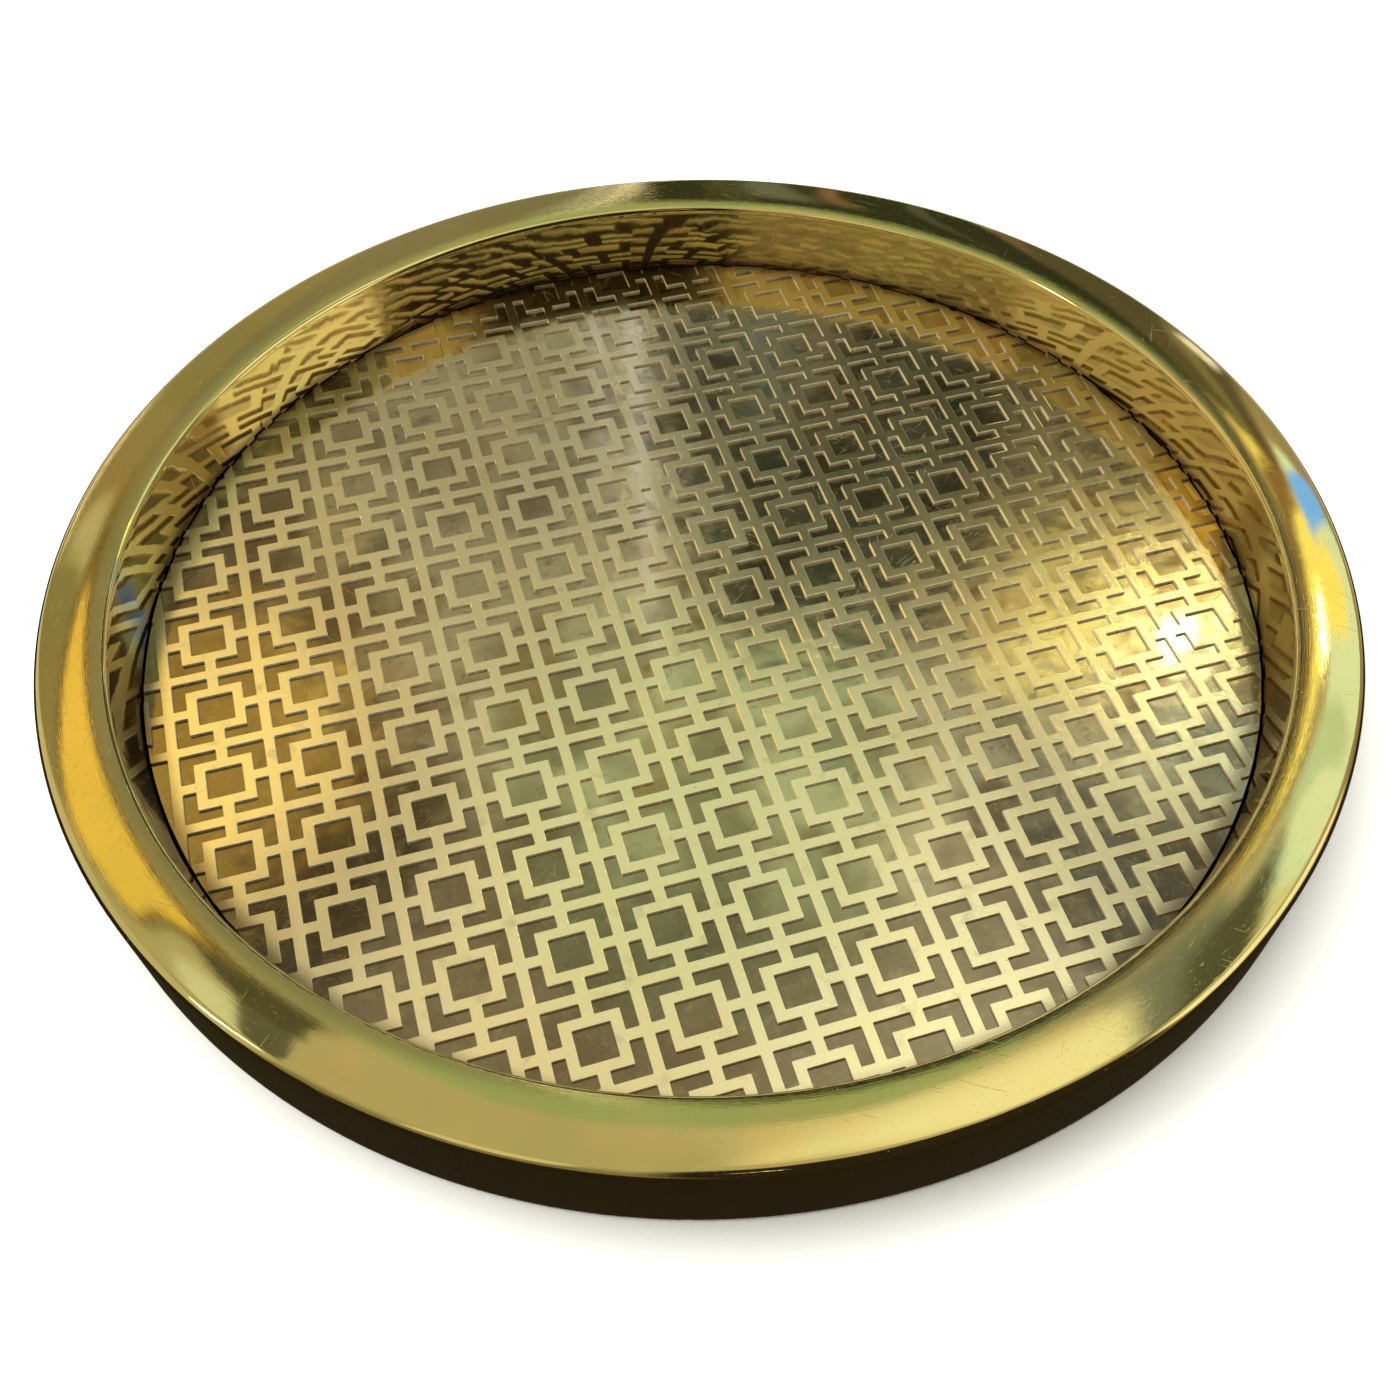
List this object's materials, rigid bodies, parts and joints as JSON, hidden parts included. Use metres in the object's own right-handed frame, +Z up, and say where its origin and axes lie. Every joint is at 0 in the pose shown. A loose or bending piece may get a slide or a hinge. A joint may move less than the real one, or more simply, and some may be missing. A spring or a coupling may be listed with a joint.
{
  "type": "serving tray",
  "caption": "Round brass tray with a broad polished rolled rim and a pierced square-key lattice lying on its flat brass floor.",
  "frame": {"origin": "middle of the felt pad's underside, on the tray's axis, where the tray meets the table", "axes": "+Z up along the tray's axis of revolution; X and Y run along the bars of the lattice"},
  "size_m": [0.3588, 0.3588, 0.0294],
  "materials": {
    "rim_brass": "polished, with fine turning lines on the band, light scratches and a vertically brushed skirt",
    "floor_brass": "aged polish with random curved scratches, stains and uneven tarnish",
    "lattice_brass": "satin, pale, with bright cut edges, smears and fine specks",
    "backing_board": "raw dense board, hidden",
    "base_felt": "dark green wool felt"
  },
  "bodies": {
    "root": {"rim": "rim_brass", "backing_board": "backing_board", "floor_plate": "floor_brass", "lattice": "lattice_brass", "base_pad": "base_felt"}
  },
  "joints": []
}
